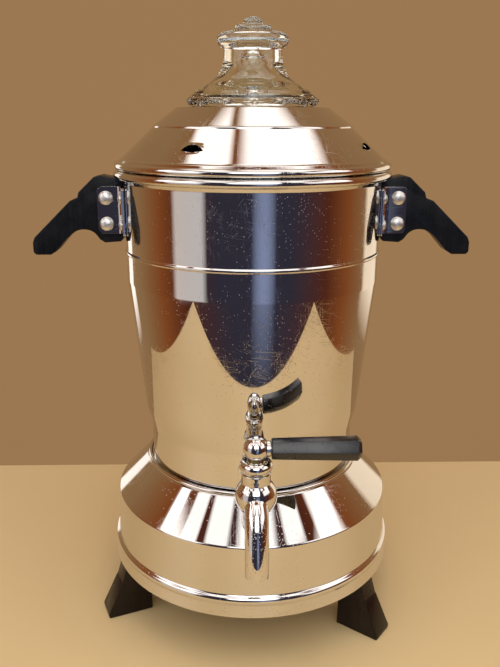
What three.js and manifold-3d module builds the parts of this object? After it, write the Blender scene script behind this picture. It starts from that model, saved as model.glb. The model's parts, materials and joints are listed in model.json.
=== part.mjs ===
// Electric percolator urn with a swivel tap: chromed shells, bakelite handles and feet, glass top.
// Millimetres, +Z up. The origin is on the urn's axis at floor level; the tap faces -Y.
import * as THREE from 'three';
import { mergeVertices } from 'three/addons/utils/BufferGeometryUtils.js';
import Module from 'manifold-3d';

const wasm = await Module();
wasm.setup();

// ---- driving dimensions -------------------------------------------------------------------
const SHEET = 1.2; // wall of the spun shells
const GAP = 0.3; // clearance between pieces that touch
const ROUND = 32; // facets round the large shells
const MIDDLE_ROUND = 24; // facets round the glass, basket and heater
const SMALL_ROUND = 16; // facets round the tap and stems
const PIN_ROUND = 8; // facets round rivets, screws and their holes

const SKIRT_Z = 36.5; // lower edge of the base
const SKIRT_R = 95.4;
const BASE_BEAD_Z = 46.8;
const BASE_BEAD_R = 91.8; // centre circle of the bead
const BASE_BEAD = 3.2; // radius of the bead itself
const BASE_EDGE_Z = 82; // where the drum turns into the cone
const BASE_EDGE_R = 90.9;
const NECK_Z = 105; // the vessel's bottom, in the neck of the base

const BAND_R = 67.4; // narrow band at the foot of the vessel
const BAND_TOP_Z = 128;
const TAPER_Z = 142; // the straight taper runs from here ...
const TAPER_R = 70.8;
const BODY_Z = 226; // ... to here, where the upright wall begins
const BODY_R = 79.6;
const BODY_BEAD_Z = 243.7;
const RIM_Z = 290.2; // centre of the rolled rim
const RIM_R = 83.1;
const RIM_BEAD = 2.5;

const LID_RIM_Z = 295.4;
const LID_RIM_R = 82.7;
const LID_BEAD = 2.3;
const LID_STEP_Z = 317.6;
const LID_STEP_R = 59.6;
const LID_TOP_Z = 329.5;
const LID_TOP_R = 45.5;
const LID_HOLE_R = 34.3;
const LID_FLANGE_R = 76.6; // the ring that drops into the vessel
const LID_FLANGE_Z = 283;
const VENT_ANGLES = [-27.8, 62.2, 152.2, 242.2]; // degrees from the front towards +X
const VENT_MIDDLE = [72.8, 306.2]; // radius and height of a vent's widest line
const VENT_HALF = 7; // half the width of its lens-shaped opening
const VENT_RISE = 3.4; // how far the opening reaches up the cone from there ...
const VENT_DIP = 1.6; // ... and down
const LID_SLOPE = 0.916; // rise of the cone for each millimetre inwards

const TOP_Z = 380; // top of the glass
const TAP_Y = -97;
const TAP_Z = 120; // centre of the tap's ball
const TAP_BALL = 12;
const SPOUT_Y = -119;
const SPOUT_R = 6.7;
const SPOUT_BORE = 4.2;
const SPOUT_END_Z = 83;
const HUB_Z = 148.6;
const HUB_R = 7.3;
const LEVER_Z = 148.4;
const LEVER_START = 8.4;
const LEVER_END = 57.9;

const HANDLE_HALF = 7; // half the handle's thickness
const HANDLE_ROOT = 80.1;
const CHEEK_END = 95.5; // outer end of a bracket's cheek
const BRACKET = 1.6; // bracket sheet
const BRACKET_Z = [253.5, 282.3];
const RIVET_Z = [259.6, 275.4];
const CHEEK_RIVET_X = 90.3;
const FLANGE_END_Y = 21;
const FLANGE_RIVET_Y = 15;

const FOOT_ANGLES = { left: -68.1, right: 51.9, rear: 171.9 }; // from the front towards +X
const FOOT_IN = 77;
const FOOT_OUT = 106.8;
const FOOT_HALF = 8.3;
const PLATE_Z = 39; // underside of the bottom plate
const FOOT_SCREW_R = 85;

const INLET_Z = 65;
const INLET_END = 122;
const INLET_WIDTH = 36; // outside of the guard round the pins
const INLET_HEIGHT = 19;
const PIN_X = 8.75;
const PIN_R = 2.4;

const WELL_R = 11; // pump well through the vessel's bottom
const WELL_BORE = 8.6;
const WELL_FOOT_Z = 78;
const WELL_FLOOR_Z = 84;
const PUMP_R = 4;
const PUMP_TOP_Z = 335;
const BASKET_Z = 215;
const BASKET_TOP_Z = 271;

// ---- materials ----------------------------------------------------------------------------
const finish = (color, roughness, metalness, extra = {}) =>
  new THREE.MeshStandardMaterial({ color, roughness, metalness, ...extra });
const chrome = finish(0xd9d8d4, 0.06, 1);
const blackBakelite = finish(0x14151a, 0.3, 0);
const brownBakelite = finish(0x1d120d, 0.32, 0);
const glass = finish(0xdfe8df, 0.03, 0, { transparent: true, opacity: 0.35 });
const aluminium = finish(0xb4b5b6, 0.35, 1);
const brass = finish(0xb08d4a, 0.35, 1);
const steel = finish(0x8d8f92, 0.4, 1);
const ceramic = finish(0xe6dfcf, 0.5, 0);
const rubber = finish(0x2b2a28, 0.8, 0);

// ---- helpers ------------------------------------------------------------------------------
const group = new THREE.Group();
const rad = THREE.MathUtils.degToRad;

// Turns a closed three.js geometry into a solid, with its faces pointing out.
function solid(geometry) {
  const bare = geometry.index ? geometry.toNonIndexed() : geometry.clone();
  for (const key of Object.keys(bare.attributes)) {
    if (key !== 'position') bare.deleteAttribute(key);
  }
  const merged = mergeVertices(bare, 1e-4);
  const points = merged.attributes.position.array;
  const corners = merged.index.array;
  const faces = [];
  let volume = 0;
  const corner = new THREE.Vector3();
  for (let i = 0; i < corners.length; i += 3) {
    const [a, b, c] = [corners[i], corners[i + 1], corners[i + 2]];
    if (a === b || b === c || c === a) continue;
    faces.push(a, b, c);
    const at = (k) => new THREE.Vector3().fromArray(points, k * 3);
    volume += at(a).dot(corner.crossVectors(at(b), at(c)));
  }
  if (volume < 0) faces.reverse();
  const mesh = new wasm.Mesh({
    numProp: 3,
    vertProperties: new Float32Array(points),
    triVerts: new Uint32Array(faces),
  });
  return new wasm.Manifold(mesh);
}

function add(name, shape, material) {
  const mesh = (shape instanceof THREE.BufferGeometry ? solid(shape) : shape).getMesh();
  const geometry = new THREE.BufferGeometry();
  geometry.setAttribute('position', new THREE.BufferAttribute(new Float32Array(mesh.vertProperties), 3));
  geometry.setIndex(new THREE.BufferAttribute(new Uint32Array(mesh.triVerts), 1));
  geometry.computeVertexNormals();
  const node = new THREE.Mesh(geometry, material);
  node.name = name;
  group.add(node);
}

// Points of an arc in a profile; angles in degrees, 0 pointing outwards and 90 pointing up.
function arc(r, z, radius, from, to, steps) {
  const points = [];
  for (let i = 0; i <= steps; i += 1) {
    const angle = rad(from + ((to - from) * i) / steps);
    points.push([r + radius * Math.cos(angle), z + radius * Math.sin(angle)]);
  }
  return points;
}

// A solid of revolution about +Z from a profile of [radius, height] points.
function turned(profile, facets = ROUND) {
  const closed = [...profile];
  if (profile.every(([r]) => r > 0)) closed.push(profile[0]);
  const points = closed.map(([r, z]) => new THREE.Vector2(r, z));
  return solid(new THREE.LatheGeometry(points, facets).rotateX(Math.PI / 2));
}

const tube = (inner, outer, low, high, facets) =>
  turned([[inner, low], [outer, low], [outer, high], [inner, high]], facets);
const rod = (radius, low, high, facets = SMALL_ROUND) =>
  turned([[0, low], [radius, low], [radius, high], [0, high]], facets);

// A hexagon nut with a round bore.
const nut = (bore, corner, low, high) => rod(corner, low, high, 6).subtract(rod(bore, low - 1, high + 1, 16));

// Stands a +Z solid along another direction and moves it.
function placed(shape, x, y, z, alongX = 0, alongY = 0, alongZ = 0) {
  return shape.rotate([alongX, alongY, alongZ]).translate([x, y, z]);
}

const alongY = (shape, x, y, z) => placed(shape, x, y, z, -90); // +Z turned to +Y

// Turns a shape about the urn's axis; one drawn at -Y ends at that azimuth, front towards +X.
const spin = (shape, degrees) => shape.rotate([0, 0, degrees]);

function extruded(shape, depth, options = {}) {
  const settings = { depth, bevelEnabled: false, curveSegments: 4, ...options };
  return solid(new THREE.ExtrudeGeometry(shape, settings));
}

const plateOf = (points) => new THREE.Shape(points.map(([x, y]) => new THREE.Vector2(x, y)));

// A slot-shaped outline, its long side along X.
function stadium(width, height) {
  const radius = height / 2;
  const reach = width / 2 - radius;
  return plateOf([...arc(reach, 0, radius, -90, 90, 8), ...arc(-reach, 0, radius, 90, 270, 8)]);
}

// A domed rivet head, flat side down at z = 0.
const dome = (radius, height) => [
  [radius, 0],
  ...[30, 60].map((a) => [radius * Math.cos(rad(a)), height * Math.sin(rad(a))]),
  [0, height],
];

// ---- base ---------------------------------------------------------------------------------
function inletOpening() {
  const opening = stadium(INLET_WIDTH + 2 * GAP, INLET_HEIGHT + 2 * GAP);
  return alongY(extruded(opening, 30), 0, 80, INLET_Z);
}

function baseShell() {
  const drumFoot = BASE_EDGE_R + 1.5;
  const profile = [
    [SKIRT_R - SHEET, SKIRT_Z],
    [SKIRT_R, SKIRT_Z],
    [BASE_BEAD_R + 2.4, BASE_BEAD_Z - BASE_BEAD + 0.4],
    ...arc(BASE_BEAD_R, BASE_BEAD_Z, BASE_BEAD, -40, 75, 5),
    [drumFoot, BASE_BEAD_Z + BASE_BEAD + 0.4],
    ...arc(BASE_EDGE_R - 1.5, BASE_EDGE_Z - 1, 1.5, 5, 45, 2),
    [70.9, 103.3],
    [70.2, 104.4],
    ...arc(69.2, NECK_Z + 0.2, 1.3, 0, 180, 4),
    [67.9, NECK_Z - GAP],
    [50, NECK_Z - GAP],
    [50, NECK_Z - GAP - SHEET],
    [68.6, NECK_Z - GAP - SHEET],
    [BASE_EDGE_R - 2.2, BASE_EDGE_Z - 1],
    [BASE_BEAD_R - 0.6, BASE_BEAD_Z + BASE_BEAD + 0.4],
    [BASE_BEAD_R + 1, BASE_BEAD_Z - BASE_BEAD + 0.4],
  ];
  add('base_shell', turned(profile).subtract(inletOpening()), chrome);
}

const footAzimuths = Object.entries(FOOT_ANGLES);

function bottomPlate() {
  const edge = 93.2;
  let plate = turned([
    [3.6, PLATE_Z],
    [edge, PLATE_Z],
    [edge - 0.6, PLATE_Z + 3.6],
    [edge - 1.8, PLATE_Z + 3.6],
    [edge - 2.2, PLATE_Z + SHEET],
    [3.6, PLATE_Z + SHEET],
  ]);
  for (const [, degrees] of footAzimuths) {
    const hole = rod(2.3, PLATE_Z - 1, PLATE_Z + 3, PIN_ROUND).translate([0, -FOOT_SCREW_R, 0]);
    plate = plate.subtract(spin(hole, degrees));
  }
  const vents = 8;
  for (let i = 0; i < vents; i += 1) {
    const vent = rod(4, PLATE_Z - 1, PLATE_Z + 3, PIN_ROUND).translate([0, -45, 0]);
    plate = plate.subtract(spin(vent, (360 * i) / vents));
  }
  add('base_bottom_plate', plate, steel);
}

function feet() {
  const top = PLATE_Z - GAP;
  const outline = plateOf([
    [FOOT_IN, 0], [FOOT_OUT, 0], [FOOT_OUT + 0.2, 3], [97.3, 23], [96.6, 23.6], [93.6, 34],
    [92.6, top], [FOOT_IN, top],
  ]);
  const narrowing = 0.004; // the foot loses this share of its width per millimetre of height
  const block = new THREE.ExtrudeGeometry(outline, { depth: 2 * FOOT_HALF, bevelEnabled: false });
  block.translate(0, 0, -FOOT_HALF);
  const place = block.attributes.position;
  for (let i = 0; i < place.count; i += 1) {
    place.setZ(i, place.getZ(i) * (1 - narrowing * place.getY(i)));
  }
  // The outline's X becomes -Y (outwards at the front) and its Y becomes +Z.
  block.rotateX(Math.PI / 2).rotateZ(-Math.PI / 2);
  const body = solid(block).subtract(rod(2.3, 13.7, top + 1, PIN_ROUND).translate([0, -FOOT_SCREW_R, 0]));
  const seat = PLATE_Z + SHEET + GAP;
  const screw = turned([
    [0, 14], [2, 14], [2, seat], [4, seat], [3.4, seat + 1.8], [0, seat + 2.4],
  ], PIN_ROUND).translate([0, -FOOT_SCREW_R, 0]);
  for (const [name, degrees] of footAzimuths) {
    add(`foot_${name}`, spin(body, degrees), brownBakelite);
    add(`foot_screw_${name}`, spin(screw, degrees), steel);
  }
}

// ---- power inlet --------------------------------------------------------------------------
function inlet() {
  const inside = 83; // back of the guard's flange, behind the drum wall
  const lip = 5; // how far the flange reaches beyond the sleeve
  const [width, height] = [INLET_WIDTH - 2 * SHEET, INLET_HEIGHT - 2 * SHEET];
  const sleeve = extruded(stadium(INLET_WIDTH, INLET_HEIGHT), INLET_END - inside);
  const flange = extruded(stadium(INLET_WIDTH + 2 * lip, INLET_HEIGHT + 2 * lip), SHEET);
  const hollow = extruded(stadium(width, height), 60).translate([0, 0, -lip]);
  const guard = sleeve.add(flange).subtract(hollow);
  add('inlet_guard', alongY(guard, 0, inside, INLET_Z), chrome);

  const blockStart = 81;
  const blockDepth = 17;
  let block = extruded(stadium(width - 2 * GAP, height - 2 * GAP), blockDepth);
  for (const side of [-1, 1]) {
    block = block.subtract(rod(PIN_R + GAP, -1, blockDepth + 1, 12).translate([side * PIN_X, 0, 0]));
  }
  add('inlet_block', alongY(block, 0, blockStart, INLET_Z), ceramic);

  const pinStart = 72;
  const pinEnd = INLET_END - 5;
  for (const [name, side] of [['left', -1], ['right', 1]]) {
    const pin = turned([[0, pinStart], [PIN_R, pinStart], [PIN_R, pinEnd - 2], [1.6, pinEnd], [0, pinEnd]], 12);
    add(`inlet_pin_${name}`, alongY(pin, side * PIN_X, 0, INLET_Z), brass);
    const pinNut = nut(PIN_R + GAP, 4.6, blockStart - 4.5, blockStart - 0.4);
    add(`inlet_nut_${name}`, alongY(pinNut, side * PIN_X, 0, INLET_Z), brass);
  }
}

// ---- heater -------------------------------------------------------------------------------
const PAN_Z = 95.4;
const PAN_R = 44.2;
const LEAD_X = 12;
const LEAD_Y = 32;

function heater() {
  const seat = NECK_Z + SHEET + GAP;
  const collar = 18; // radius of the well's collar on the vessel's bottom
  const well = turned([
    [0, WELL_FOOT_Z], [WELL_R, WELL_FOOT_Z], [WELL_R, seat], [collar, seat], [collar - 1, seat + 1.8],
    [WELL_BORE, seat + 1.8], [WELL_BORE, WELL_FLOOR_Z], [0, WELL_FLOOR_Z],
  ], MIDDLE_ROUND);
  const tieR = 3; // the tie rod screws into the well's floor
  const tieEnd = WELL_FLOOR_Z - 1.5;
  add('pump_well', well.subtract(rod(tieR + GAP, WELL_FOOT_Z - 1, tieEnd, 16)), brass);
  add('tie_rod', rod(tieR, 31, tieEnd - GAP, 16), steel);
  add('tie_nut', nut(tieR + GAP, 6, 33.5, PLATE_Z - GAP), steel);

  const lip = NECK_Z - GAP;
  let pan = turned([
    [WELL_R + GAP, PAN_Z], [PAN_R, PAN_Z], [PAN_R, lip], [PAN_R - SHEET, lip], [PAN_R - SHEET, PAN_Z + SHEET],
    [WELL_R + GAP, PAN_Z + SHEET],
  ], MIDDLE_ROUND);
  for (const side of [-1, 1]) {
    pan = pan.subtract(rod(2.8, PAN_Z - 1, PAN_Z + 3, PIN_ROUND).translate([side * LEAD_X, LEAD_Y, 0]));
  }
  add('heater_pan', pan, steel);
  const element = tube(WELL_R + 1, PAN_R - SHEET - 0.5, PAN_Z + SHEET + GAP, lip, MIDDLE_ROUND);
  add('heating_element', element, ceramic);
  add('heater_nut', nut(WELL_R + 2 * GAP, 17, 88.5, PAN_Z - GAP), brass);

  for (const [name, side] of [['left', -1], ['right', 1]]) {
    const stud = rod(2.2, 90, PAN_Z + SHEET, PIN_ROUND).translate([side * LEAD_X, LEAD_Y, 0]);
    add(`heater_stud_${name}`, stud, brass);
    const path = new THREE.CatmullRomCurve3([
      new THREE.Vector3(side * LEAD_X, LEAD_Y, 89.5),
      new THREE.Vector3(side * LEAD_X, LEAD_Y + 2, 82),
      new THREE.Vector3(side * (LEAD_X + 1), 48, 72),
      new THREE.Vector3(side * (PIN_X + 1), 64, INLET_Z + 1),
      new THREE.Vector3(side * PIN_X, 71.7, INLET_Z),
    ]);
    const section = new THREE.Shape().absarc(0, 0, 1.7, 0, 2 * Math.PI);
    const options = { steps: 11, curveSegments: 4, bevelEnabled: false, extrudePath: path };
    add(`heater_lead_${name}`, new THREE.ExtrudeGeometry(section, options), rubber);
  }
}

// ---- vessel -------------------------------------------------------------------------------
const rivetTurn = THREE.MathUtils.radToDeg(Math.asin(FLANGE_RIVET_Y / BODY_R));
const rivetPlaces = []; // every rivet of the brackets: name, turn about Z, height
for (const [sideName, start, sign] of [['left', 180, 1], ['right', 0, -1]]) {
  for (const [endName, end] of [['front', 1], ['rear', -1]]) {
    for (const [levelName, z] of [['lower', RIVET_Z[0]], ['upper', RIVET_Z[1]]]) {
      const name = `vessel_rivet_${sideName}_${endName}_${levelName}`;
      rivetPlaces.push({ name, turn: start + sign * end * rivetTurn, z });
    }
  }
}
// Lays a +Z shape along +X, turns it about the urn's axis and lifts it.
const onWall = (shape, turn, z) => placed(shape.rotate([0, 90, 0]), 0, 0, z, 0, 0, turn);

function vessel() {
  const inner = BODY_R - SHEET;
  const profile = [
    [WELL_R + GAP, NECK_Z],
    ...arc(BAND_R - 3, NECK_Z + 3, 3, -90, 0, 2),
    [BAND_R - 0.1, BAND_TOP_Z],
    [68.2, 131.5],
    [69.6, 136.5],
    [TAPER_R, TAPER_Z],
    [BODY_R, BODY_Z],
    [BODY_R, BODY_BEAD_Z - 1.1],
    [BODY_R + 0.7, BODY_BEAD_Z],
    [BODY_R, BODY_BEAD_Z + 1.1],
    [BODY_R, RIM_Z - 5],
    [BODY_R + 0.8, RIM_Z - 3],
    ...arc(RIM_R, RIM_Z, RIM_BEAD, -120, 90, 6),
    [inner + 1.2, RIM_Z + RIM_BEAD - 0.4],
    [inner, RIM_Z + 1],
    [inner, BODY_Z],
    [TAPER_R - SHEET, TAPER_Z],
    [67, 131.8],
    [BAND_R - SHEET, BAND_TOP_Z],
    ...arc(BAND_R - 3 - SHEET, NECK_Z + 3 + SHEET, 3, 0, -90, 2),
    [WELL_R + GAP, NECK_Z + SHEET],
  ];
  let shell = turned(profile);
  shell = shell.subtract(alongY(rod(5.7 + GAP, 60, 75, 16), 0, -2 * BAND_R, TAP_Z));
  for (const { turn, z } of rivetPlaces) {
    shell = shell.subtract(onWall(rod(1.9, 72, 90, PIN_ROUND), turn, z));
  }
  add('vessel', shell, chrome);
}

// ---- tap ----------------------------------------------------------------------------------
const NECK_TOP = 134.6; // rim of the tap's neck, under the bonnet
const NECK_R = 8.3;
const NECK_LOW = 131.5;
const BACK_R = 7.4; // round part behind the ball
const SHANK_END = -58; // how far the threaded shank reaches into the vessel
const WATERWAY_R = 3.4;
const PLUG_FOOT = 111.5;
const PLUG_SEAT_R = 6;
const STEM_R = 4.4;
const SHANK_R = 5.7;
const WALL_FACE = -(BAND_R + 2 * GAP); // where the tap's washer meets the vessel

// The spout bends through a quarter of an ellipse, from the ball's middle down to its end.
function spoutTube(radius, end) {
  const round = 0.5523; // makes a cubic curve follow a quarter of an ellipse
  const reach = TAP_Y - SPOUT_Y;
  const drop = TAP_Z - end;
  const at = (y, z) => new THREE.Vector3(0, y, z);
  const path = new THREE.CubicBezierCurve3(
    at(TAP_Y, TAP_Z), at(TAP_Y - round * reach, TAP_Z), at(SPOUT_Y, end + round * drop), at(SPOUT_Y, end),
  );
  const section = new THREE.Shape().absarc(0, 0, radius, 0, 2 * Math.PI);
  const options = { steps: 14, curveSegments: 6, bevelEnabled: false, extrudePath: path };
  return solid(new THREE.ExtrudeGeometry(section, options));
}

function tapBody() {
  const shoulder = 5; // hexagon against the washer
  const shoulderStart = WALL_FACE - 2 - GAP - shoulder;
  const neck = [[NECK_R, NECK_LOW], [NECK_R, NECK_TOP], [0, NECK_TOP]];
  const ball = turned([...arc(0, TAP_Z, TAP_BALL, -90, 48, 7), ...neck], MIDDLE_ROUND).translate([0, TAP_Y, 0]);
  const outside = ball
    .add(alongY(rod(BACK_R, 0, shoulderStart - TAP_Y + 1), 0, TAP_Y, TAP_Z))
    .add(alongY(rod(9, 0, shoulder, 6), 0, shoulderStart, TAP_Z))
    .add(alongY(rod(SHANK_R, 0, SHANK_END - TAP_Y, 16), 0, TAP_Y, TAP_Z))
    .add(spoutTube(SPOUT_R, SPOUT_END_Z));
  const body = outside
    .subtract(alongY(rod(WATERWAY_R, 0, 60, 12), 0, TAP_Y, TAP_Z))
    .subtract(spoutTube(SPOUT_BORE, SPOUT_END_Z))
    .subtract(rod(SPOUT_BORE, SPOUT_END_Z - 2, SPOUT_END_Z + 2).translate([0, SPOUT_Y, 0]))
    .subtract(rod(PLUG_SEAT_R, PLUG_FOOT, NECK_TOP + 1, MIDDLE_ROUND).translate([0, TAP_Y, 0]));
  add('tap_body', body, chrome);
}

function tapFixings() {
  const washer = tube(SHANK_R + GAP, 10, 0, 2, SMALL_ROUND);
  add('tap_washer', alongY(washer, 0, WALL_FACE - 2, TAP_Z), chrome);
  const inside = -(BAND_R - SHEET - 0.95); // clear of the curved wall at the gasket's edge
  add('tap_gasket', alongY(tube(SHANK_R + GAP, 9, 0, 1.8, SMALL_ROUND), 0, inside, TAP_Z), rubber);
  const shankNut = nut(SHANK_R + 2 * GAP, 9.5, 0, 4.6);
  add('tap_nut', alongY(shankNut, 0, inside + 1.8 + GAP, TAP_Z), brass);
}

function tapValve() {
  const plugR = PLUG_SEAT_R - GAP;
  const low = NECK_TOP + GAP;
  const bonnet = turned([
    [STEM_R + GAP, low], [NECK_R, low], ...arc(6, 138.6, 3.4, -60, 75, 4), [STEM_R + GAP, 142.3],
  ], SMALL_ROUND);
  add('tap_bonnet', bonnet.translate([0, TAP_Y, 0]), chrome);

  const hubFoot = 143.3;
  const stem = turned([
    [0, PLUG_FOOT + 0.5], [plugR, PLUG_FOOT + 0.5], [plugR, NECK_TOP - 1], [STEM_R, NECK_TOP - 0.4],
    [STEM_R, hubFoot - GAP], [0, hubFoot - GAP],
  ], MIDDLE_ROUND);
  const port = placed(rod(3.2, -10, 10, 12), 0, 0, TAP_Z, 0, 90);
  add('tap_plug', stem.subtract(port).translate([0, TAP_Y, 0]), brass);

  const hub = turned([[0, hubFoot], [4.6, hubFoot], ...arc(0, HUB_Z, HUB_R, -40, 90, 6)], SMALL_ROUND);
  const socket = placed(rod(4.4, 0, LEVER_START - GAP, 16), 0, 0, LEVER_Z, 0, 90);
  const tang = placed(rod(2, 0, 22, 10), 0, 0, LEVER_Z, 0, 90);
  add('tap_hub', hub.add(socket).add(tang).translate([0, TAP_Y, 0]), chrome);
}

// A six-sided grip with flats on top and below, wider towards its chamfered end.
function tapLever() {
  const flats = 10.4;
  const endFlats = 12.2;
  const chamfer = 2;
  const corner = flats / Math.sqrt(3);
  const widening = endFlats / flats;
  const end = LEVER_END - LEVER_START;
  const grip = turned([
    [0, 0], [corner, 0], [corner * widening, end - chamfer], [corner * widening - chamfer, end], [0, end],
  ], 6);
  const lever = placed(grip, LEVER_START, 0, LEVER_Z, 0, 90);
  const hole = placed(rod(2 + GAP, 0, 22.5, 10), 0, 0, LEVER_Z, 0, 90);
  add('tap_lever', lever.subtract(hole).translate([0, TAP_Y, 0]), blackBakelite);
}

// ---- handles ------------------------------------------------------------------------------
// Drawn in the XZ plane for the right side; extruding it towards +Z and standing it up gives +-Y.
function upright(shape, depth, mirrored, options) {
  const piece = extruded(shape, depth, options).translate([0, 0, -depth / 2]).rotate([90, 0, 0]);
  return mirrored ? piece.mirror([1, 0, 0]) : piece;
}

function handleOutline() {
  const shape = new THREE.Shape();
  shape.moveTo(HANDLE_ROOT, 286);
  shape.lineTo(93, 288.8);
  shape.lineTo(97.5, 287.8);
  shape.lineTo(107.3, 278.6);
  shape.lineTo(108.2, 275); // thumb notch
  shape.lineTo(113, 273.3);
  shape.lineTo(136.2, 250.9);
  shape.quadraticCurveTo(137.6, 249.4, 137.6, 247.6);
  shape.lineTo(137.6, 241.2);
  shape.lineTo(136.2, 239.8);
  shape.lineTo(126.8, 239.8);
  shape.lineTo(123.2, 242);
  shape.lineTo(115.4, 250.8);
  shape.quadraticCurveTo(109.5, 256.4, 103.5, 255.6); // finger hollow
  shape.quadraticCurveTo(98.8, 254.6, 95.4, 249.4);
  shape.lineTo(92.6, 247.6);
  shape.lineTo(82.4, 248.2);
  shape.lineTo(HANDLE_ROOT, 251);
  return shape;
}

// Plan of one bracket: a cheek on the handle's face, bent forward into a flange on the vessel.
function bracketPlan() {
  const cheekIn = HANDLE_HALF + GAP;
  const cheekOut = cheekIn + BRACKET;
  const inner = BODY_R + GAP;
  const outer = inner + BRACKET;
  const steps = 4;
  const onArc = (radius, y) => [Math.sqrt(radius * radius - y * y), y];
  const points = [[CHEEK_END, -cheekIn]];
  for (let i = 0; i <= steps; i += 1) {
    points.push(onArc(inner, -cheekIn - ((FLANGE_END_Y - cheekIn) * i) / steps));
  }
  for (let i = steps; i > 0; i -= 1) {
    points.push(onArc(outer, -cheekOut - ((FLANGE_END_Y - cheekOut) * i) / steps));
  }
  points.push([outer + 0.9, -cheekOut], [CHEEK_END, -cheekOut]);
  return plateOf(points);
}

function handles() {
  const [low, high] = BRACKET_Z;
  const corner = 3.2;
  const window = plateOf([
    [60, low],
    ...arc(CHEEK_END - corner, low + corner, corner, -90, 0, 3),
    ...arc(CHEEK_END - corner, high - corner, corner, 0, 90, 3),
    [60, high],
  ]);
  const bracket = extruded(bracketPlan(), high - low)
    .translate([0, 0, low])
    .intersect(upright(window, 80));
  const bevel = { bevelEnabled: true, bevelThickness: 1, bevelSize: 1, bevelOffset: -1, bevelSegments: 1 };
  const grip = 2 * HANDLE_HALF - 2 * bevel.bevelThickness;
  const face = HANDLE_HALF + BRACKET + 2 * GAP; // underside of the rivet heads
  const head = dome(4.3, 2.4);
  const rivet = turned([
    [0, -face - 2.4],
    ...head.slice(0, -1).reverse().map(([r, z]) => [r, -face - z]),
    [2, -face],
    [2, face],
    ...head.map(([r, z]) => [r, face + z]),
  ], 12);
  const reach = 40;
  for (const [side, mirrored] of [['left', true], ['right', false]]) {
    const sign = mirrored ? -1 : 1;
    const drill = rod(2 + GAP, -reach, reach, PIN_ROUND);
    const holes = RIVET_Z.map((z) => alongY(drill, sign * CHEEK_RIVET_X, 0, z));
    const drilled = (shape) => holes.reduce((rest, hole) => rest.subtract(hole), shape);
    add(`handle_${side}`, drilled(upright(handleOutline(), grip, mirrored, bevel)), blackBakelite);
    for (const end of ['front', 'rear']) {
      let piece = mirrored ? bracket.mirror([1, 0, 0]) : bracket;
      if (end === 'rear') piece = piece.mirror([0, 1, 0]);
      for (const { turn, z } of rivetPlaces) {
        piece = piece.subtract(onWall(rod(1.9, 70, 90, PIN_ROUND), turn, z));
      }
      add(`handle_bracket_${side}_${end}`, drilled(piece), chrome);
    }
    for (const [level, z] of [['lower', RIVET_Z[0]], ['upper', RIVET_Z[1]]]) {
      add(`handle_rivet_${side}_${level}`, alongY(rivet, sign * CHEEK_RIVET_X, 0, z), aluminium);
    }
  }
}

function vesselRivets() {
  const head = BODY_R + BRACKET + 2 * GAP;
  const tail = BODY_R - SHEET - GAP;
  const rivet = turned([
    [0, tail - 1], [3, tail - 1], [3, tail - 0.2], [1.6, tail - 0.1], [1.6, head],
    ...dome(3.2, 1.8).map(([r, z]) => [r, head + z]),
  ], PIN_ROUND);
  for (const { name, turn, z } of rivetPlaces) {
    add(name, onWall(rivet, turn, z), aluminium);
  }
}

// ---- lid and glass ------------------------------------------------------------------------
const LUG_COUNT = 3;
const GLASS_BEADS = 15;

// The opening of the vent at the front, pushed squarely through the cone.
function ventCutter() {
  const deep = 3;
  const steps = 8;
  const edge = (side, height) => {
    const points = [];
    for (let i = 0; i < steps; i += 1) {
      const share = 1 - (2 * i) / steps;
      points.push([side * share * VENT_HALF, height * (1 - share * share)]);
    }
    return points;
  };
  const lens = plateOf([...edge(1, VENT_RISE), ...edge(-1, -VENT_DIP)]);
  const block = extruded(lens, 2 * deep).translate([0, 0, -deep]);
  const slope = THREE.MathUtils.radToDeg(Math.atan(LID_SLOPE));
  return placed(block, 0, -VENT_MIDDLE[0], VENT_MIDDLE[1], slope);
}

function lid() {
  const foot = 80.4;
  const footZ = LID_STEP_Z - LID_SLOPE * (foot - LID_STEP_R - 0.8);
  const profile = [
    [LID_FLANGE_R - SHEET, LID_FLANGE_Z],
    [LID_FLANGE_R, LID_FLANGE_Z],
    [LID_FLANGE_R, LID_RIM_Z - LID_BEAD],
    ...arc(LID_RIM_R, LID_RIM_Z, LID_BEAD, -90, 110, 6),
    [foot, footZ],
    [LID_STEP_R + 0.8, LID_STEP_Z],
    [LID_STEP_R, LID_STEP_Z + 0.8],
    [LID_TOP_R + 1, LID_TOP_Z - 0.9],
    [LID_TOP_R - 0.6, LID_TOP_Z],
    [LID_HOLE_R, LID_TOP_Z],
    [LID_HOLE_R, LID_TOP_Z - SHEET],
    [LID_TOP_R - 1, LID_TOP_Z - SHEET],
    [LID_STEP_R - 1, LID_STEP_Z - 0.9],
    [foot - 1.6, footZ - 1.4],
    [LID_FLANGE_R - SHEET, LID_RIM_Z - 0.2],
  ];
  let shell = turned(profile);
  for (const degrees of VENT_ANGLES) shell = shell.subtract(spin(ventCutter(), degrees));
  for (let i = 0; i < LUG_COUNT; i += 1) {
    const notch = extruded(plateOf([[-7, 30], [7, 30], [7, 38], [-7, 38]]), 6);
    shell = shell.subtract(spin(notch.translate([0, 0, LID_TOP_Z - 4]), 45 + (360 * i) / LUG_COUNT));
  }
  add('lid_shell', shell, chrome);
}

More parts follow.
